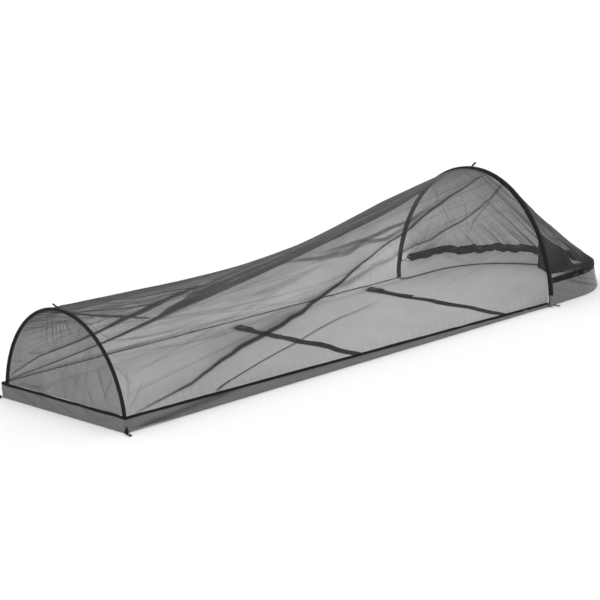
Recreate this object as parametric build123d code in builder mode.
from build123d import *
import math
import os

# A low one-person netting shelter: coated floor with low walls, two hoop poles, a netting
# canopy and a half-round head end that opens with a zip.
# Frame (mm): origin at the middle of the floor's underside, +X towards the head, +Z up.
# "near" is the -Y side and "far" the +Y side.

os.makedirs("parts", exist_ok=True)

# ---------------------------------------------------------------- driving dimensions
X_FOOT = -1130.0        # outer face of the foot wall
X_FOOT_HOOP = -1120.0   # plane of the foot hoop
X_HEAD_HOOP = 660.0     # plane of the head hoop
X_ARC = 850.0           # centre of the half-round head end
FOOT_HALF_W = 259.0     # floor half width at the foot
HEAD_HALF_W = 317.0     # floor half width at the head hoop, and radius of the half-round end

FLOOR_T = 1.6           # coated floor cloth, with its seam allowance
WALL_T = 1.6            # wall cloth
NET_T = 1.6             # netting, allowed its loft
WALL_Z = FLOOR_T + 0.1  # underside of the walls
FOOT_WALL_H = 36.0      # top of the wall at the foot
SIDE_WALL_H_HEAD = 7.0  # top of the side wall where it runs out at the head hoop
HEAD_WALL_H = 70.0      # top of the head wall, under the zip
HEAD_LEAN_Y = 6.0       # how far the head wall leans in along the sides
HEAD_LEAN_X = 10.0      # how far its half-round centre moves towards the foot at the top

# Hoops: half width and height of the pole's centre line, an ellipse centred at z = 0
FOOT_HOOP_HALF_W, FOOT_HOOP_H = 249.0, 286.0
HEAD_HOOP_HALF_W, HEAD_HOOP_H = 327.0, 431.0
FOOT_PIVOT_Z = 9.3      # height of the foot hoop's tips
HEAD_PIVOT_Z = 8.6      # height of the head hoop's tips

SIDES = (("near", -1), ("far", 1))


def half_width(x):
    """Half width of the floor on its straight tapering sides."""
    share = (x - X_FOOT) / (X_HEAD_HOOP - X_FOOT)
    return FOOT_HALF_W + (HEAD_HALF_W - FOOT_HALF_W) * share


def save(part, name):
    part.label = name
    export_step(part, f"parts/{name}.step")


def save_both_sides(near_part, stem):
    """Save a near-side piece and its mirror image on the far side."""
    save(near_part, f"{stem}_near")
    with BuildPart() as far:
        add(near_part.mirror(Plane.XZ))
    save(far.part, f"{stem}_far")


# ---------------------------------------------------------------- groundsheet and walls
with BuildPart() as floor_panel:
    with BuildSketch(Plane.XY):
        with BuildLine():
            Polyline((X_ARC, HEAD_HALF_W), (X_HEAD_HOOP, HEAD_HALF_W), (X_FOOT, FOOT_HALF_W),
                     (X_FOOT, -FOOT_HALF_W), (X_HEAD_HOOP, -HEAD_HALF_W),
                     (X_ARC, -HEAD_HALF_W))
            CenterArc((X_ARC, 0), HEAD_HALF_W, -90, 180)
        make_face()
    extrude(amount=FLOOR_T)
save(floor_panel.part, "floor_panel")

with BuildPart() as foot_wall:
    with BuildSketch(Plane.YZ.offset(X_FOOT)):
        with Locations((0, (WALL_Z + FOOT_WALL_H) / 2)):
            Rectangle(2 * (FOOT_HALF_W - 0.4), FOOT_WALL_H - WALL_Z)
    extrude(amount=WALL_T)
save(foot_wall.part, "foot_wall")

# Plane of the near wall's outer face: sketch x runs towards the head, sketch y is up
SIDE_L = math.hypot(X_HEAD_HOOP - X_FOOT, HEAD_HALF_W - FOOT_HALF_W)
SIDE_DIR = ((X_HEAD_HOOP - X_FOOT) / SIDE_L, -(HEAD_HALF_W - FOOT_HALF_W) / SIDE_L, 0)
SIDE_OUT = (SIDE_DIR[1], -SIDE_DIR[0], 0)
SIDE_PLANE = Plane(origin=(X_FOOT, -FOOT_HALF_W, 0), x_dir=SIDE_DIR, z_dir=SIDE_OUT)
SIDE_WALL_START = 2.2       # clears the foot wall
SIDE_WALL_END = SIDE_L - 1

with BuildPart() as side_wall:
    with BuildSketch(SIDE_PLANE):
        with BuildLine():
            Polyline((SIDE_WALL_START, WALL_Z), (SIDE_WALL_END, WALL_Z),
                     (SIDE_WALL_END, SIDE_WALL_H_HEAD), (SIDE_WALL_START, FOOT_WALL_H),
                     close=True)
        make_face()
    extrude(amount=-WALL_T)
save_both_sides(side_wall.part, "side_wall")


def d_outline(half_w, x_back, x_centre):
    """Open-ended D drawn closed: flat back at x_back, straight sides, half-round nose."""
    with BuildLine() as line:
        Polyline((x_centre, half_w), (x_back, half_w), (x_back, -half_w), (x_centre, -half_w))
        CenterArc((x_centre, 0), half_w, -90, 180)
    return line.line


# Head wall: a leaning half-round shell. The hollow starts further back, so the back is open.
with BuildPart() as head_wall:
    for half_w, x_back, mode in (
        (HEAD_HALF_W, X_HEAD_HOOP + 2, Mode.ADD),
        (HEAD_HALF_W - WALL_T, X_HEAD_HOOP - 20, Mode.SUBTRACT),
    ):
        with BuildSketch(Plane.XY.offset(WALL_Z)):
            add(d_outline(half_w, x_back, X_ARC))
            make_face()
        with BuildSketch(Plane.XY.offset(HEAD_WALL_H)):
            add(d_outline(half_w - HEAD_LEAN_Y, x_back, X_ARC - HEAD_LEAN_X))
            make_face()
        loft(mode=mode)
save(head_wall.part, "head_wall")

# ---------------------------------------------------------------- edge binding
# Tape along the top edges of the foot and side walls
BIND_H, BIND_T = 7.4, 3.0
BIND_PROUD = 0.6                        # how far it stands out from the wall's outer face
BIND_FOOT_Z = FOOT_WALL_H + 0.3         # its lower edge at the foot
BIND_HEAD_Z = SIDE_WALL_H_HEAD + 0.5    # its lower edge at the head
SIDE_BIND_START = 3.4
SIDE_BIND_END = SIDE_L - 10.4

with BuildPart() as foot_binding:
    with BuildSketch(Plane.YZ.offset(X_FOOT - BIND_PROUD)):
        with Locations((0, BIND_FOOT_Z + BIND_H / 2)):
            Rectangle(2 * (FOOT_HALF_W - 2.0), BIND_H)
    extrude(amount=BIND_T)
save(foot_binding.part, "foot_binding")

with BuildPart() as side_binding:
    with BuildSketch(SIDE_PLANE.offset(BIND_PROUD)):
        with BuildLine():
            Polyline((SIDE_BIND_START, BIND_FOOT_Z), (SIDE_BIND_END, BIND_HEAD_Z),
                     (SIDE_BIND_END, BIND_HEAD_Z + BIND_H),
                     (SIDE_BIND_START, BIND_FOOT_Z + BIND_H), close=True)
        make_face()
    extrude(amount=-BIND_T)
save_both_sides(side_binding.part, "side_binding")

# ---------------------------------------------------------------- zip track
ZIP_R = HEAD_HALF_W - HEAD_LEAN_Y - 0.8     # track radius round the head
X_ZIP_ARC = X_ARC - HEAD_LEAN_X             # centre of the track's arc
X_ZIP_START = 694.0                         # both ends of the zip
Z_LOW_TAPE, Z_LOW_COIL = 70.4, 77.6         # undersides of the lower tape and coil
Z_UP_COIL, Z_UP_TAPE = 81.0, 83.4           # undersides of the upper coil and tape
Z_UP_END = 90.4                             # top of the upper tape
COIL_H = 2.2
TAPE_HALF_T, COIL_HALF_T = 0.6, 1.6

# ---------------------------------------------------------------- netting
# Main canopy stations: x, half width, ridge height, base height, roundness exponent
CANOPY = [
    (-1113.6, 250.0, 287.0, 45.6, 2.00),
    (-760.0, 263.0, 283.0, 40.0, 1.81),
    (-408.0, 276.0, 283.0, 34.2, 1.71),
    (-55.0, 291.0, 316.0, 28.2, 1.71),
    (297.0, 307.0, 384.0, 22.2, 1.81),
    (649.0, 324.0, 431.0, 16.4, 2.00),
]


def arch(half_w, height, base_z, exponent, count=25):
    """(y, z) points of a rounded arch from base_z on the far side over the top to the near."""
    points = []
    start = math.asin(min(1.0, (base_z / height) ** (exponent / 2)))
    for k in range(count):
        angle = start + (math.pi - 2 * start) * k / (count - 1)
        cosine, sine = math.cos(angle), math.sin(angle)
        y = half_w * math.copysign(abs(cosine) ** (2 / exponent), cosine)
        z = height * abs(sine) ** (2 / exponent)
        points.append((y, max(z, base_z)))
    return points


def inset(points, distance):
    """The same points moved inwards along the local normal; the two ends move level."""
    moved = []
    last = len(points) - 1
    for k, (y, z) in enumerate(points):
        y_before, z_before = points[max(k - 1, 0)]
        y_after, z_after = points[min(k + 1, last)]
        step_y, step_z = y_after - y_before, z_after - z_before
        length = math.hypot(step_y, step_z)
        normal_y, normal_z = -step_z / length, step_y / length
        if k in (0, last):
            normal_z = 0.0
            normal_y = -1.0 if y > 0 else 1.0
        elif normal_y * y + normal_z * (z - 20) > 0:    # points outwards: flip it
            normal_y, normal_z = -normal_y, -normal_z
        moved.append((y + normal_y * distance, z + normal_z * distance))
    return moved


def lofted_net(sections):
    """Netting shell lofted through (x, outer outline) sections."""
    with BuildPart() as net:
        for x, outer in sections:
            inner = inset(outer, NET_T)
            with BuildSketch(Plane.YZ.offset(x)):
                with BuildLine():
                    Spline(*outer)
                    Line(outer[-1], inner[-1])
                    Spline(*inner[::-1])
                    Line(inner[0], outer[0])
                make_face()
        loft()
    return net.part


save(lofted_net([(x, arch(*shape)) for x, *shape in CANOPY]), "main_canopy")

# Head netting: stretched from the head hoop's arch down to the zip's line, with a sag
HEAD_NET_X = 671.0              # its edge at the hoop
HEAD_NET_Z = Z_UP_END + 0.6     # its edge at the zip
HEAD_NET_HALF_W = 323.0         # half width of its arch at the hoop
HEAD_NET_SAG = 12.0
SAG_IN, SAG_DOWN = 0.4, 0.85    # shares of the sag that go inwards and down
HEAD_NET_STATIONS = (HEAD_NET_X, 740.0, 820.0, 900.0, 980.0, 1050.0, 1105.0, 1135.0)

# Far half of the hoop's arch, finely divided, with the running length at each point
ARCH_STEPS = 300
arch_start = math.asin(HEAD_NET_Z / HEAD_HOOP_H)
arch_angles = [arch_start + (math.pi / 2 - arch_start) * k / ARCH_STEPS
               for k in range(ARCH_STEPS + 1)]
arch_points = [(HEAD_NET_HALF_W * math.cos(angle), HEAD_HOOP_H * math.sin(angle))
               for angle in arch_angles]
arch_lengths = [0.0]
for before, after in zip(arch_points, arch_points[1:]):
    arch_lengths.append(arch_lengths[-1] + math.dist(before, after))


def hoop_point(share):
    """Point (y, z) on the hoop's arch, share = 0 at the zip's height and 1 at the top."""
    want = share * arch_lengths[-1]
    k = max(i for i in range(ARCH_STEPS) if arch_lengths[i] <= want)
    part_step = (want - arch_lengths[k]) / (arch_lengths[k + 1] - arch_lengths[k])
    (y_low, z_low), (y_high, z_high) = arch_points[k], arch_points[k + 1]
    return (y_low * (1 - part_step) + y_high * part_step,
            z_low * (1 - part_step) + z_high * part_step)


def rim_point(share):
    """Point (x, y) on the zip's line, share = 0 at the hoop and 1 at the nose."""
    straight = X_ZIP_ARC - HEAD_NET_X
    run = share * (straight + ZIP_R * math.pi / 2)
    if run < straight:
        return (HEAD_NET_X + run, ZIP_R)
    angle = (run - straight) / ZIP_R
    return (X_ZIP_ARC + ZIP_R * math.sin(angle), ZIP_R * math.cos(angle))


def head_section(x, count=13):
    """(y, z) section at x of the head netting, from the far rim over the top to the near."""
    low, high = 0.0, 1.0
    for _ in range(60):     # bisect for the share at which the rim reaches x
        middle = (low + high) / 2
        if rim_point(middle)[0] < x:
            low = middle
        else:
            high = middle
    at_hoop = x <= HEAD_NET_X + 0.01
    first = 0.0 if at_hoop else high
    half = []
    for k in range(count):
        share = first + (1 - first) * k / (count - 1)
        y_hoop, z_hoop = hoop_point(share)
        x_rim, y_rim = rim_point(share)
        along = 0.0 if at_hoop else min(1.0, (x - HEAD_NET_X) / (x_rim - HEAD_NET_X))
        sag = HEAD_NET_SAG * 4 * along * (1 - along)
        y = y_hoop * (1 - along) + y_rim * along - SAG_IN * math.cos(share * math.pi / 2) * sag
        half.append((y, z_hoop * (1 - along) + HEAD_NET_Z * along - SAG_DOWN * sag))
    half[-1] = (0.0, half[-1][1])
    return half + [(-y, z) for y, z in half[-2::-1]]


save(lofted_net([(x, head_section(x)) for x in HEAD_NET_STATIONS]), "head_canopy")

# Foot netting: the flat end panel inside the foot hoop
FOOT_NET_GAP = 6.0      # inside the pole's centre line
FOOT_NET_Z = 46.0

with BuildPart() as foot_mesh_panel:
    panel = arch(FOOT_HOOP_HALF_W - FOOT_NET_GAP, FOOT_HOOP_H - FOOT_NET_GAP, FOOT_NET_Z, 2.0)
    with BuildSketch(Plane.YZ.offset(X_FOOT_HOOP - NET_T / 2)):
        with BuildLine():
            Spline(*panel)
            Line(panel[-1], panel[0])
        make_face()
    extrude(amount=NET_T)
save(foot_mesh_panel.part, "foot_mesh_panel")

# ---------------------------------------------------------------- shock-corded hoop poles
POLE_R, POLE_BORE_R = 4.25, 3.55
FERRULE_R, FERRULE_BORE_R = 3.45, 2.4
CORD_R = 1.3
TIP_R = 4.9
# Angles round the hoop's ellipse, in degrees; the tips' own angle comes from the pivot height
JOINTS = (60.075, 119.925)      # joints between the three pole sections
JOINT_HALF_GAP = 0.075
FERRULE_HALF_DEG = 5.0
POLE_END_DEG = 1.2              # from the tip to the pole's end
PLUG_DEG = 6.0                  # length of the tip's plug inside the pole
CORD_END_DEG = 6.5              # from the tip to the cord's end


def swept_ring(x, half_w, height, start, end, outer_r, bore_r=0.0):
    """Round tube or rod along the hoop's centre line between two angles."""
    with BuildPart() as tube:
        with BuildLine(Plane.YZ.offset(x)) as path:
            EllipticalCenterArc((0, 0), half_w, height, start_angle=start, arc_size=end - start)
        with BuildSketch(Plane(path.line @ 0, z_dir=path.line % 0)):
            Circle(outer_r)
            if bore_r:
                Circle(bore_r, mode=Mode.SUBTRACT)
        sweep(path=path.line)
    return tube.part


def pole_set(prefix, x, half_w, height, pivot_z):
    """Three pole sections, the ferrules in their joints, the cord and the two end tips."""
    hoop = (x, half_w, height)
    start = math.degrees(math.asin(pivot_z / height))
    end = 180.0 - start
    spans = {
        "near": (JOINTS[1] + JOINT_HALF_GAP, end - POLE_END_DEG),
        "top": (JOINTS[0] + JOINT_HALF_GAP, JOINTS[1] - JOINT_HALF_GAP),
        "far": (start + POLE_END_DEG, JOINTS[0] - JOINT_HALF_GAP),
    }
    for place, span in spans.items():
        save(swept_ring(*hoop, *span, POLE_R, POLE_BORE_R), f"{prefix}_pole_{place}")
    with BuildPart() as ferrules:
        for joint in JOINTS:
            add(swept_ring(*hoop, joint - FERRULE_HALF_DEG, joint + FERRULE_HALF_DEG,
                           FERRULE_R, FERRULE_BORE_R))
    save(ferrules.part, f"{prefix}_pole_ferrules")
    save(swept_ring(*hoop, start + CORD_END_DEG, end - CORD_END_DEG, CORD_R),
         f"{prefix}_pole_shock_cord")
    tip_y = half_w * math.cos(math.radians(start))
    with BuildPart() as tips:
        for sign in (1, -1):
            with Locations((x, sign * tip_y, pivot_z)):
                Sphere(TIP_R)
        add(swept_ring(*hoop, start, start + PLUG_DEG, FERRULE_R))
        add(swept_ring(*hoop, end - PLUG_DEG, end, FERRULE_R))
    save(tips.part, f"{prefix}_pole_tips")


def pole_sleeve(x, half_w, height, low_z, outer, bore):
    """Flattened fabric tube round the pole; outer and bore are (along x, radial) half sizes."""
    start = math.degrees(math.asin(low_z / height))
    with BuildPart() as tube:
        with BuildLine(Plane.YZ.offset(x)) as path:
            EllipticalCenterArc((0, 0), half_w, height, start_angle=start,
                                arc_size=180 - 2 * start)
        with BuildSketch(Plane(path.line @ 0, x_dir=(1, 0, 0), z_dir=path.line % 0)):
            Ellipse(*outer)
            Ellipse(*bore, mode=Mode.SUBTRACT)
        sweep(path=path.line)
    return tube.part


def pole_pocket(x, y, z, outer_r, inner_r, top_z):
    """Round-bottomed cup at the floor's edge that holds one pole tip."""
    with BuildPart() as cup:
        with BuildSketch(Plane(origin=(x, y, z), x_dir=(1, 0, 0), z_dir=(0, -1, 0))):
            with BuildLine():
                CenterArc((0, 0), outer_r, -90, 90)
                Polyline((outer_r, 0), (outer_r, top_z - z), (inner_r, top_z - z), (inner_r, 0))
                CenterArc((0, 0), inner_r, 0, -90)
                Line((0, -inner_r), (0, -outer_r))
            make_face()
        revolve(axis=Axis((x, y, z), (0, 0, 1)))
    return cup.part


FOOT_HOOP = (X_FOOT_HOOP, FOOT_HOOP_HALF_W, FOOT_HOOP_H)
HEAD_HOOP = (X_HEAD_HOOP, HEAD_HOOP_HALF_W, HEAD_HOOP_H)
pole_set("foot", *FOOT_HOOP, FOOT_PIVOT_Z)
pole_set("head", *HEAD_HOOP, HEAD_PIVOT_Z)
save(pole_sleeve(*FOOT_HOOP, low_z=33.0, outer=(5.6, 5.4), bore=(4.75, 4.6)),
     "foot_pole_sleeve")
save(pole_sleeve(*HEAD_HOOP, low_z=44.0, outer=(9.5, 6.0), bore=(8.4, 4.9)),
     "head_pole_sleeve")
for side, sign in SIDES:
    save(pole_pocket(X_HEAD_HOOP, sign * HEAD_HOOP_HALF_W, HEAD_PIVOT_Z,
                     outer_r=7.9, inner_r=6.6, top_z=40.0), f"head_pole_pocket_{side}")
    save(pole_pocket(X_FOOT_HOOP, sign * (FOOT_HOOP_HALF_W - 0.8), FOOT_PIVOT_Z,
                     outer_r=7.0, inner_r=5.9, top_z=29.0), f"foot_pole_pocket_{side}")


# ---------------------------------------------------------------- head zip
def track_band(outer_r, inner_r):
    """U band parallel to the zip track, open towards the foot, between two arc radii."""
    with BuildSketch() as band:
        with BuildLine():
            Polyline((X_ZIP_ARC, outer_r), (X_ZIP_START, outer_r),
                     (X_ZIP_START, inner_r), (X_ZIP_ARC, inner_r))
            CenterArc((X_ZIP_ARC, 0), inner_r, 90, -180)
            Polyline((X_ZIP_ARC, -inner_r), (X_ZIP_START, -inner_r),
                     (X_ZIP_START, -outer_r), (X_ZIP_ARC, -outer_r))
            CenterArc((X_ZIP_ARC, 0), outer_r, -90, 180)
        make_face()
    return band.sketch


# The flap is a soft strip that hangs just inside the zip
FLAP_Z, FLAP_H = 64.0, 26.2
FLAP_OUTER_R, FLAP_INNER_R = ZIP_R - 5.0, ZIP_R - 6.2
TAPE_R = (ZIP_R + TAPE_HALF_T, ZIP_R - TAPE_HALF_T)
COIL_R = (ZIP_R + COIL_HALF_T, ZIP_R - COIL_HALF_T)

# name, (outer, inner) radius, underside, height
TRACK_STRIPS = [
    ("zip_tape_lower", TAPE_R, Z_LOW_TAPE, Z_LOW_COIL - 0.2 - Z_LOW_TAPE),
    ("zip_coil_lower", COIL_R, Z_LOW_COIL, COIL_H),
    ("zip_coil_upper", COIL_R, Z_UP_COIL, COIL_H),
    ("zip_tape_upper", TAPE_R, Z_UP_TAPE, Z_UP_END - Z_UP_TAPE),
    ("zip_storm_flap", (FLAP_OUTER_R, FLAP_INNER_R), FLAP_Z, FLAP_H),
]
for name, radii, bottom_z, height in TRACK_STRIPS:
    with BuildPart() as strip:
        with BuildSketch(Plane.XY.offset(bottom_z)):
            add(track_band(*radii))
        extrude(amount=height)
    save(strip.part, name)

STOP_X = X_ZIP_START - 4
STOP_OVERLAP = 0.6      # past the coils, above and below
with BuildPart() as zip_end_stops:
    with BuildSketch(Plane.XY.offset(Z_LOW_COIL - STOP_OVERLAP)):
        with Locations((STOP_X, ZIP_R), (STOP_X, -ZIP_R)):
            RectangleRounded(6, 4.4, 1.0)
    extrude(amount=Z_UP_COIL + COIL_H + 2 * STOP_OVERLAP - Z_LOW_COIL)
save(zip_end_stops.part, "zip_end_stops")

# ---------------------------------------------------------------- zip sliders and pulls
Z_MID = (Z_LOW_COIL + COIL_H + Z_UP_COIL) / 2   # middle of the chain
SLIDER_L = 18.0
SLIDER_SIDE_X = 822.0       # middle of the side slider
SLIDER_ARC_DEG = -85.4      # middle of the arc slider, round the track's arc
SLIDER_HALF_W = 3.3
SLIDER_HALF_H = 6.4
CHANNEL_HALF_W = 1.9
CHANNEL_HALF_H = 5.2
LIP_X = 0.9                 # half the gap that the tape passes through
WEB_HALF_T = 0.3            # plate across the middle, between the two coils

# Two lugs carry an upright pin, and the pull turns on it
LUG_L, LUG_W, LUG_T = 5.2, 4.4, 1.6             # outwards, along the track, thickness
LUG_BOTTOMS = (Z_MID - 4.6, Z_MID + 3.0)
SIDE_LUG_REACH = 5.7                            # from the track to the lugs' middle
ARC_LUG_REACH = 5.6
PIN_REACH = SLIDER_HALF_W + 2.9                 # from the track to the pin
PIN_R, PIN_Z, PIN_H = 1.0, Z_MID - 3.4, 7.0
PULL_L, PULL_T = 28, 1.8
PULL_EYE_R, PULL_BORE_R = 2.0, 1.06
PULL_Z, PULL_H = Z_MID - 2.7, 5.4
PULL_HOLE_R, PULL_HOLE_REACH = 1.4, 24.5
PULL_HOLE_DEPTH = 3.0


def slider_section():
    """Slider cross-section: x is outwards from the track, y is upright from the middle."""
    wide, tall = SLIDER_HALF_W, SLIDER_HALF_H
    inner_w, inner_h = CHANNEL_HALF_W, CHANNEL_HALF_H
    lip, web = LIP_X, WEB_HALF_T
    with BuildSketch() as section:
        with BuildLine():
            Polyline(
                (inner_w, -inner_h), (lip, -inner_h), (lip, -tall), (wide, -tall),
                (wide, tall), (lip, tall), (lip, inner_h), (inner_w, inner_h),
                (inner_w, web), (-inner_w, web), (-inner_w, inner_h), (-lip, inner_h),
                (-lip, tall), (-wide, tall), (-wide, -tall), (-lip, -tall),
                (-lip, -inner_h), (-inner_w, -inner_h), (-inner_w, -web), (inner_w, -web),
                close=True)
        make_face()
    return section.sketch


# Side slider: a straight channel on the near side of the zip
side_y = -ZIP_R
pin_x = SLIDER_SIDE_X + 4.0
pin_y = side_y - PIN_REACH
with BuildPart() as zip_slider_side:
    with BuildSketch(Plane(origin=(SLIDER_SIDE_X - SLIDER_L / 2, side_y, Z_MID),
                           x_dir=(0, -1, 0), z_dir=(1, 0, 0))):
        add(slider_section())
    extrude(amount=SLIDER_L)
    for lug_z in LUG_BOTTOMS:
        with BuildSketch(Plane.XY.offset(lug_z)):
            with Locations((pin_x, side_y - SIDE_LUG_REACH)):
                Rectangle(LUG_W, LUG_L)
        extrude(amount=LUG_T)
    with BuildSketch(Plane.XY.offset(PIN_Z)):
        with Locations((pin_x, pin_y)):
            Circle(PIN_R)
    extrude(amount=PIN_H)
save(zip_slider_side.part, "zip_slider_side")

# Its pull points towards the foot and has a cross hole near its end
with BuildPart() as zip_pull_side:
    with BuildSketch(Plane.XY.offset(PULL_Z)):
        with Locations((pin_x, pin_y)):
            Circle(PULL_EYE_R)
        with Locations((pin_x - PULL_L / 2, pin_y)):
            Rectangle(PULL_L, PULL_T)
        with Locations((pin_x, pin_y)):
            Circle(PULL_BORE_R, mode=Mode.SUBTRACT)
    extrude(amount=PULL_H)
    with BuildSketch(Plane.XZ.offset(-pin_y - PULL_HOLE_DEPTH / 2)):
        with Locations((pin_x - PULL_HOLE_REACH, Z_MID)):
            Circle(PULL_HOLE_R)
    extrude(amount=PULL_HOLE_DEPTH, mode=Mode.SUBTRACT)
save(zip_pull_side.part, "zip_pull_side")


def arc_plane(degrees, z, upright):
    """Plane on the track's arc with x outwards; its y is up if upright, else its normal is."""
    angle = math.radians(degrees)
    cosine, sine = math.cos(angle), math.sin(angle)
    return Plane(origin=(X_ZIP_ARC + ZIP_R * cosine, ZIP_R * sine, z),
                 x_dir=(cosine, sine, 0), z_dir=(sine, -cosine, 0) if upright else (0, 0, 1))


# Arc slider: the same section turned about the arc's centre, so that it stays on the track
half_arc = math.degrees(SLIDER_L / 2 / ZIP_R)
section_plane = arc_plane(SLIDER_ARC_DEG - half_arc, Z_MID, upright=True)
pin_plane = arc_plane(SLIDER_ARC_DEG - half_arc / 2, 0, upright=False)
with BuildPart() as zip_slider_arc:
    with BuildSketch(section_plane):
        add(slider_section())
    revolve(axis=Axis((X_ZIP_ARC, 0, 0), (0, 0, 1)), revolution_arc=2 * half_arc)
    for lug_z in LUG_BOTTOMS:
        with BuildSketch(pin_plane.offset(lug_z)):
            with Locations((ARC_LUG_REACH, 0)):
                Rectangle(LUG_L, LUG_W)
        extrude(amount=LUG_T)
    with BuildSketch(pin_plane.offset(PIN_Z)):
        with Locations((PIN_REACH, 0)):
            Circle(PIN_R)
    extrude(amount=PIN_H)
save(zip_slider_arc.part, "zip_slider_arc")

# Its pull points along the track towards the nose
with BuildPart() as zip_pull_arc:
    with BuildSketch(pin_plane.offset(PULL_Z)):
        with Locations((PIN_REACH, 0)):
            Circle(PULL_EYE_R)
        with Locations((PIN_REACH, PULL_L / 2)):
            Rectangle(PULL_T, PULL_L)
        with Locations((PIN_REACH, 0)):
            Circle(PULL_BORE_R, mode=Mode.SUBTRACT)
    extrude(amount=PULL_H)
save(zip_pull_arc.part, "zip_pull_arc")

# ---------------------------------------------------------------- sleeping-pad straps
STRAP_X = {"lower": -190.0, "upper": 470.0}
STRAP_W, STRAP_T = 20.0, 1.4
BASE_Z = FLOOR_T + 0.4
RUN_Z = BASE_Z + STRAP_T / 2 + 0.3      # webbing's centre line where it lies on the floor
HOUSING_W, HOUSING_L, HOUSING_H = 28, 30, 9.0
CAVITY_Z, CAVITY_H = BASE_Z + 3.2, 5.8
STRAP_SLOT_W = 21.4


def buckle_female(x, mouth_y, end_y):
    """Hollow housing with side windows and a slot for the webbing."""
    with BuildPart() as buckle:
        with BuildSketch(Plane.XY.offset(BASE_Z + 1.6)):
            with Locations((x, (mouth_y + end_y) / 2)):
                RectangleRounded(HOUSING_W, HOUSING_L, 4)
        extrude(amount=HOUSING_H)
        fillet(buckle.edges().group_by(Axis.Z)[-1], radius=1.2)
        # the cavity, open at the mouth, then the windows right across
        for middle, width, length in ((10.5, 23.4, 23.0), (13.0, 40.0, 9.0)):
            with BuildSketch(Plane.XY.offset(CAVITY_Z)):
                with Locations((x, mouth_y + middle)):
                    Rectangle(width, length)
            extrude(amount=CAVITY_H, mode=Mode.SUBTRACT)
        with BuildSketch(Plane.XY.offset(BASE_Z)):
            with Locations((x, end_y - 4.6)):
                Rectangle(STRAP_SLOT_W, 3.2)
        extrude(amount=20.0, mode=Mode.SUBTRACT)
    return buckle.part


def buckle_male(x, mouth_y):
    """Slotted ladder bar, centre guide and two spring arms that reach into the housing."""
    with BuildPart() as buckle:
        with BuildSketch(Plane.XY.offset(BASE_Z + 3.5)):
            with Locations((x, mouth_y - 7.6)):
                RectangleRounded(27.0, 14.4, 3)
            with Locations((x, mouth_y - 4.8)):
                Rectangle(STRAP_SLOT_W, 3.6, mode=Mode.SUBTRACT)
        extrude(amount=5.2)
        with BuildSketch(Plane.XY.offset(BASE_Z + 3.7)):
            with Locations((x, mouth_y + 7.6)):
                Rectangle(4.4, 19.0)
            with Locations((x - 9.3, mouth_y + 8.6), (x + 9.3, mouth_y + 8.6)):
                RectangleRounded(4.2, 21.0, 1.2)
        extrude(amount=4.8)
    return buckle.part


def strap(x, path):
    """Webbing that follows (y, z) centre-line points, its width starting half below x."""
    with BuildPart() as webbing:
        with BuildSketch(Plane.YZ.offset(x - STRAP_W / 2)):
            with BuildLine():
                Polyline(*path)
            trace(line_width=STRAP_T)
        extrude(amount=STRAP_W)
    return webbing.part


for name, x in STRAP_X.items():
    wall_y = half_width(x) - WALL_T - 1.2
    end_y = wall_y - 14.0           # far end of the female half
    mouth_y = end_y - HOUSING_L
    slot_y = mouth_y - 4.8          # male half's slot
    bar_y = end_y - 4.6             # female half's slot
    save(buckle_female(x, mouth_y, end_y), f"pad_strap_{name}_buckle_female")
    save(buckle_male(x, mouth_y), f"pad_strap_{name}_buckle_male")
    # from the near wall, up through the male half's slot, tail lying back on top
    save(strap(x, [
        (-wall_y + 2, RUN_Z), (slot_y - 2.6, RUN_Z), (slot_y, RUN_Z + 1.8),
        (slot_y, BASE_Z + 11.2), (slot_y - 12.0, BASE_Z + 11.2),
        (slot_y - 30.0, RUN_Z + 3.4), (slot_y - 150.0, RUN_Z + 3.0),
    ]), f"pad_strap_{name}_webbing")
    # from the far wall, up through the female half's slot and back to the wall
    save(strap(x, [
        (wall_y, RUN_Z - 0.2), (bar_y + 1.0, RUN_Z - 0.2), (bar_y, RUN_Z + 1.6),
        (bar_y, BASE_Z + 12.0), (end_y + 3.0, BASE_Z + 12.0),
        (end_y + 6.0, RUN_Z + 1.9), (wall_y, RUN_Z + 1.7),
    ]), f"pad_strap_{name}_anchor")

# ---------------------------------------------------------------- stake points
STAKE_Z = 0.3               # underside of the tabs and loops
CORNER_GAP = 1.2            # from the floor's corner to the tab's origin, in x and in y
CORNER_DEG = 40             # how far the tab turns outwards from the -X direction
CORNER_TAB_T = 3.4
CORNER_HOLE_REACH = 12
CORNER_HOLE_R, CORNER_CORD_R = 1.59, 1.5
CORD_RING_END, CORD_RING_HALF_W = 30, 8
LOOP_T = 1.6
LOOP_SIZE, LOOP_SLOT = (14, 31), (8, 17)    # (across, outwards)
LOOP_SLOT_REACH = 20.4                      # from the floor's edge to the slot's middle


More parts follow.
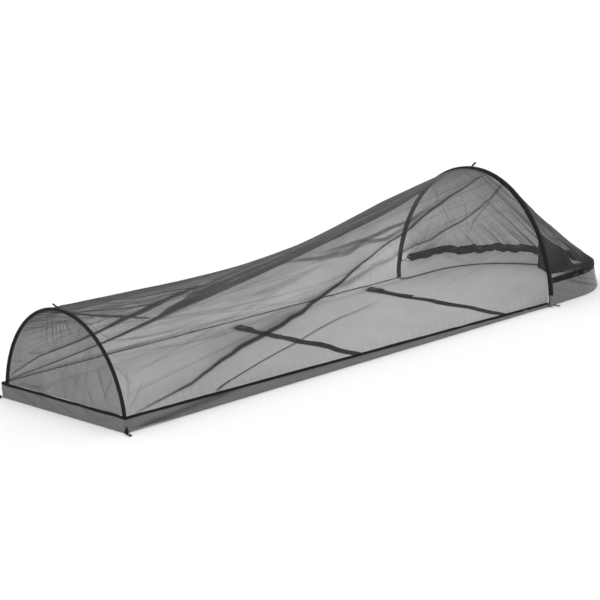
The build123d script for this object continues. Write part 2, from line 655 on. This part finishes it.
def corner_stake(side, sign):
    """Tapered webbing tab at a foot corner, and the cord ring through its tip."""
    angle = math.radians(180 - sign * CORNER_DEG)
    out = (math.cos(angle), math.sin(angle), 0)
    base = Plane(origin=(X_FOOT - CORNER_GAP, sign * (FOOT_HALF_W + CORNER_GAP), STAKE_Z),
                 x_dir=out, z_dir=(0, 0, 1))
    hole_at = base.origin + Vector(*out) * CORNER_HOLE_REACH + Vector(0, 0, CORNER_TAB_T / 2)
    with BuildPart() as tab:
        with BuildSketch(base):
            with BuildLine():
                Polyline((0.8, -9), (14.6, -3.4), (14.6, 3.4), (0.8, 9), close=True)
            make_face()
        extrude(amount=CORNER_TAB_T)
        with BuildSketch(Plane(origin=hole_at, x_dir=out, z_dir=(-out[1], out[0], 0))):
            Circle(CORNER_HOLE_R)
        extrude(amount=20, both=True, mode=Mode.SUBTRACT)
    save(tab.part, f"corner_tab_{side}")

    with BuildPart() as cord:
        with BuildLine(base.offset(CORNER_TAB_T / 2)) as ring:
            FilletPolyline((CORNER_HOLE_REACH, -CORD_RING_HALF_W),
                           (CORD_RING_END, -CORD_RING_HALF_W),
                           (CORD_RING_END, CORD_RING_HALF_W),
                           (CORNER_HOLE_REACH, CORD_RING_HALF_W), radius=4, close=True)
        with BuildSketch(Plane(ring.line @ 0, z_dir=ring.line % 0)):
            Circle(CORNER_CORD_R)
        sweep(path=ring.line)
    save(cord.part, f"corner_cord_{side}")


def stake_loop(name, centre, size, slot_centre, slot_size):
    """Flat webbing loop at floor level with a slot for the stake."""
    with BuildPart() as loop:
        with BuildSketch(Plane.XY.offset(STAKE_Z)):
            with Locations(centre):
                RectangleRounded(*size, 4)
            with Locations(slot_centre):
                RectangleRounded(*slot_size, 3.6, mode=Mode.SUBTRACT)
        extrude(amount=LOOP_T)
    save(loop.part, name)


hoop_loop_x = X_HEAD_HOOP + 24
nose_x = X_ARC + HEAD_HALF_W
for side, sign in SIDES:
    corner_stake(side, sign)
    stake_loop(f"stake_loop_hoop_{side}",
               (hoop_loop_x, sign * (HEAD_HALF_W + 16.4)), LOOP_SIZE,
               (hoop_loop_x, sign * (HEAD_HALF_W + LOOP_SLOT_REACH)), LOOP_SLOT)
stake_loop("stake_loop_head", (nose_x + 16.6, 0), LOOP_SIZE[::-1],
           (nose_x + LOOP_SLOT_REACH, 0), LOOP_SLOT[::-1])

# ---------------------------------------------------------------- guy loops
GUY_T = 1.4     # one layer of the doubled webbing
GUY_L, GUY_W = 26, 10


def guy_loop(name, hoop_x, hoop_top, rise, direction):
    """Slotted loop on top of a hoop, reaching along x in the given direction."""
    with BuildPart() as loop:
        with BuildSketch(Plane.XZ.offset(-GUY_W / 2)):
            with Locations((hoop_x + direction * 12.0, hoop_top + rise)):
                RectangleRounded(GUY_L, 2 * GUY_T, 1.3)
        extrude(amount=GUY_W)
        with BuildSketch(Plane.XY.offset(hoop_top)):
            with Locations((hoop_x + direction * 17.5, 0)):
                RectangleRounded(11, 5.4, 2.4)
        extrude(amount=20, mode=Mode.SUBTRACT)
    save(loop.part, name)


guy_loop("foot_guy_loop", X_FOOT_HOOP, FOOT_HOOP_H, rise=7.4, direction=-1)
guy_loop("head_guy_loop", X_HEAD_HOOP, HEAD_HOOP_H, rise=8.0, direction=1)

# ---------------------------------------------------------------- inside pocket at the head
# Flat netting pocket inside the near side of the head netting, with a hem along its top edge
# Outlines: x, z
POCKET_OUTLINE = [
    (682, 236), (736, 204), (829, 156), (841, 146), (871, 109),
    (872, 96), (831, 92), (743, 95), (716, 108), (680, 122),
]
HEM_OUTLINE = [(682, 238), (737, 206), (830, 158), (828, 151), (734, 198), (682, 230)]

# name, outline, distance of the outer face from the middle plane, thickness
for name, outline, outer_face, thickness in (
    ("inner_pocket", POCKET_OUTLINE, 258, NET_T),
    ("inner_pocket_hem", HEM_OUTLINE, 255.8, 1.4),
):
    with BuildPart() as layer:
        with BuildSketch(Plane.XZ.offset(outer_face)):
            with BuildLine():
                Polyline(*outline, close=True)
            make_face()
        extrude(amount=-thickness)
    save(layer.part, name)
